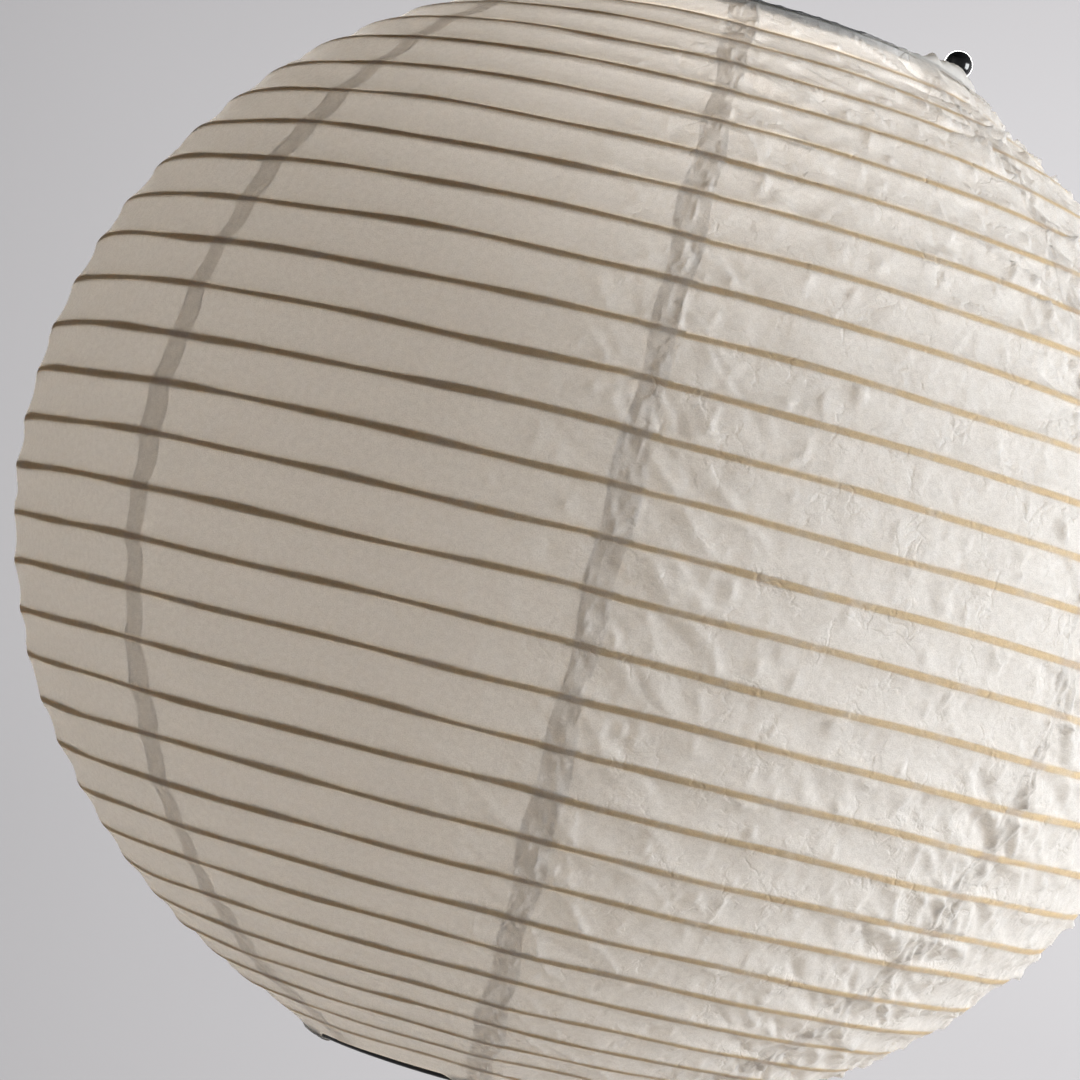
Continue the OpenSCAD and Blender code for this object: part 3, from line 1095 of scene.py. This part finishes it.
def make_leg(side, sign, at):
    """A leg hangs from the arm, bends outwards and presses the bottom ring down with its foot."""
    bend = 8 * MM
    corner = arc((at["leg_x"] + bend, at["foot_z"] + bend), bend, 180, 270, 16)
    down = straight((at["leg_x"], at["arm_z"] - 0.6 * at["wire_r"]), corner[0], 60)[:-1]
    foot = straight(corner[-1], (at["foot_end"] - CAP_GAP, at["foot_z"]), 10)[1:]
    flat = np.concatenate([down, corner, foot])
    path = np.stack([flat[:, 0], 0.4 * MM * np.sin(flat[:, 1] * 11), flat[:, 1]], 1)
    leg = sweep("stretcher_leg_" + side, path, np.full(len(path), at["wire_r"]), 20)
    return on_side(leg, sign)


def on_side(piece, sign):
    """Turns a piece that was made for the right side to the left if sign is negative."""
    if sign < 0:
        piece.data.transform(Matrix.Rotation(math.pi, 4, "Z"))
    return piece


def make_ball(side, sign, at):
    """A dipped ball end with a short collar where it runs out on the post."""
    r, wire = at["ball_r"], at["wire_r"]
    round_part = arc((0, 0), r, 84, -62, 40)
    collar = [(wire + 0.9 * MM, -0.98 * r), (wire + 0.65 * MM, -1.12 * r), (wire + 0.5 * MM, -1.3 * r)]
    inside = [(wire - 0.1 * MM, -1.32 * r), (wire - 0.1 * MM, -0.3 * r), (AXIS_R, -0.3 * r)]
    outline = np.concatenate([[(AXIS_R, 0.985 * r)], round_part * (1, 0.985), collar, inside])
    ball = lathe("ball_" + side, outline[::-1], Vector((at["ball_x"], 0, at["ball_z"])), (0, 0, 1))
    return on_side(ball, sign)


def make_cap(name, sign, end, height, at):
    """A soft cap pushed over a wire's end: rounded nose, plain sleeve and a rolled lip."""
    r, length, wire = at["cap_r"], at["cap_length"], at["wire_r"]
    nose = arc((r - 1.9 * MM, -1.9 * MM), 1.9 * MM, 90, 0, 10)
    lip = arc((r - 0.45 * MM, -length + 0.5 * MM), 0.5 * MM, 0, -180, 8)
    outline = np.concatenate([
        [(AXIS_R, 0)], nose, [(r - 0.25 * MM, -0.45 * length), (r - 0.3 * MM, -0.85 * length)], lip,
        [(wire, -length + 0.3 * MM), (wire, -1.6 * MM), (AXIS_R, -1.6 * MM)]])
    cap = lathe(name, outline[::-1], Vector((end, 0, height)), (1, 0, 0), 48)
    return on_side(cap, sign)


def make_hub():
    """The flat ring that the lampholder clamps, with rolled edges."""
    bore = next(m for m in frame["record"]["mounts"] if m["name"] == "lampholder_bore")
    inner = bore["dims"]["r_mm"] * MM
    outer, half = size_of("lampholder_ring").x / 2, size_of("lampholder_ring").z / 2
    soft = 0.7 * MM
    outline = np.concatenate([
        arc((outer - soft, half - soft), soft, 90, 0, 8),
        arc((outer - soft, soft - half), soft, 0, -90, 8),
        arc((inner + soft, soft - half), soft, -90, -180, 8),
        arc((inner + soft, half - soft), soft, 180, 90, 8)])
    return lathe("lampholder_plate", outline[::-1], Vector((0, 0, 0)), (0, 0, 1), 128)


for index, node in enumerate(gore_names):
    gore = make_gore(index, f"gore_{index + 1}")
    finish_piece(gore, paper, "shade_top", "shade_paper", node)
    squash_with_fold(gore)

for index, node in enumerate(hoop_names):
    hoop = make_hoop(index + 1, f"bamboo_{index + 1:02d}")
    finish_piece(hoop, bamboo, node + "_body", "bamboo", node)

top_ring = make_ring("top_wire_ring", 0, 31)
finish_piece(top_ring, ring_finish, "shade_top", "ring_wire", "top_ring")
bottom_ring = make_ring("bottom_wire_ring", last_level, 41)
finish_piece(bottom_ring, ring_finish, "bottom_rim", "ring_wire", "bottom_ring")
top_edge = make_edge_paper("top_edge_paper", 0, -math.pi, math.pi, TopEdge, 51)
bottom_edge = make_edge_paper(
    "bottom_edge_paper", last_level, BARE_TO, BARE_FROM + TURN, BottomEdge, 61)
finish_piece(top_edge, edge_paper, "shade_top", "binding_paper", "top_edge_binding")
finish_piece(bottom_edge, edge_paper, "bottom_rim", "binding_paper", "bottom_edge_binding")

for side, sign in (("right", 1), ("left", -1)):
    at = stretcher_places(side)
    parts = (
        (make_arm(side, sign, at), "arm_", wire_finish, "stretcher_wire"),
        (make_leg(side, sign, at), "leg_", wire_finish, "stretcher_wire"),
        (make_ball(side, sign, at), "grip_ball_", rubber, "black_rubber"),
        (make_cap("arm_tip_" + side, sign, at["arm_end"], at["arm_z"], at), "arm_cap_",
         rubber, "black_rubber"),
        (make_cap("foot_tip_" + side, sign, at["foot_end"], at["foot_z"], at), "foot_cap_",
         rubber, "black_rubber"),
    )
    for piece, node, finish, slot in parts:
        finish_piece(piece, finish, "shade_top", slot, node + side)
hub = make_hub()
finish_piece(hub, wire_finish, "shade_top", "stretcher_wire", "lampholder_ring")

# ------------------------------------------------------------------- stage, lights, camera

FLOOR_BELOW = 1.9
BOWL_R = 5.0
BOWL_BEND = 1.4
BOWL_TOP = 6.0
BOWL_SIDES = 96


def make_stage():
    """A round floor that bends up into a wall."""
    floor = globe_centre.z - FLOOR_BELOW
    profile = [(0.05, floor), (BOWL_R - BOWL_BEND, floor)]
    profile += arc((BOWL_R - BOWL_BEND, floor + BOWL_BEND), BOWL_BEND, -90, 0, 24).tolist()
    profile += [(BOWL_R, BOWL_TOP)]
    profile = np.array(profile)
    turn = full_turn(BOWL_SIDES)
    points = on_axis(turn[None, :], profile[:, :1], profile[:, 1:])
    bowl = mesh_object("backdrop", points, grid_faces(len(profile), BOWL_SIDES, True))
    bowl.data.materials.append(stage_material())


def area_light(name, azimuth, elevation, distance, width, height, power, colour, aim=None):
    """A soft box round the lantern, hidden from the camera, that faces the lantern or aim."""
    light = bpy.data.lights.new(name, "AREA")
    light.shape = "RECTANGLE"
    light.size, light.size_y = width, height
    light.energy = power
    light.color = colour
    lamp = new_object(name, light)
    a, e = math.radians(azimuth), math.radians(elevation)
    way = Vector((math.sin(a) * math.cos(e), -math.cos(a) * math.cos(e), math.sin(e)))
    lamp.location = globe_centre + distance * way
    target = globe_centre if aim is None else Vector(aim)
    lamp.rotation_mode = "QUATERNION"
    lamp.rotation_quaternion = (target - lamp.location).to_track_quat("-Z", "Y")
    lamp.visible_camera = False
    return lamp


def make_lights():
    """A key at the right, the light behind that comes through the paper, a weak fill, and a wash
    on the wall behind."""
    area_light("key_right", 75, 8, 2.4, 1.4, 1.5, 82, (0.965, 0.985, 1.0))
    area_light("through_back", 180, 10, 2.8, 2.0, 2.0, 264, (1.0, 0.986, 0.98))
    area_light("front_left", -45, 20, 3.0, 2.0, 2.0, 2, (0.95, 0.98, 1.0))
    wall = (1.8, 4.6, globe_centre.z)
    area_light("wall_wash", 150, 30, 1.6, 2.0, 1.0, 470, (1.0, 0.99, 1.0), aim=wall)
    world = bpy.data.worlds.new("studio")
    world.use_nodes = True
    background = world.node_tree.nodes["Background"]
    background.inputs["Color"].default_value = (0.95, 0.97, 1.0, 1)
    background.inputs["Strength"].default_value = 0.015
    bpy.context.scene.world = world


SENSOR = 36.0
LENS = 114.7
EYE = Vector((0, -1.7367, -0.3318))
AIM = Vector((-0.03528, 0, -0.2571))
ROLL = math.radians(14.1)


def make_camera():
    """The camera stands a little under the lantern's middle, tilted so that the shade leans right."""
    data = bpy.data.cameras.new("camera")
    data.lens, data.sensor_width = LENS, SENSOR
    camera = new_object("camera", data)
    look = (AIM - EYE).to_track_quat("-Z", "Y").to_matrix().to_4x4()
    camera.matrix_world = Matrix.Translation(EYE) @ look @ Matrix.Rotation(ROLL, 4, "Z")
    bpy.context.scene.camera = camera


make_stage()
make_lights()
make_camera()
bpy.context.scene.view_settings.view_transform = "Standard"
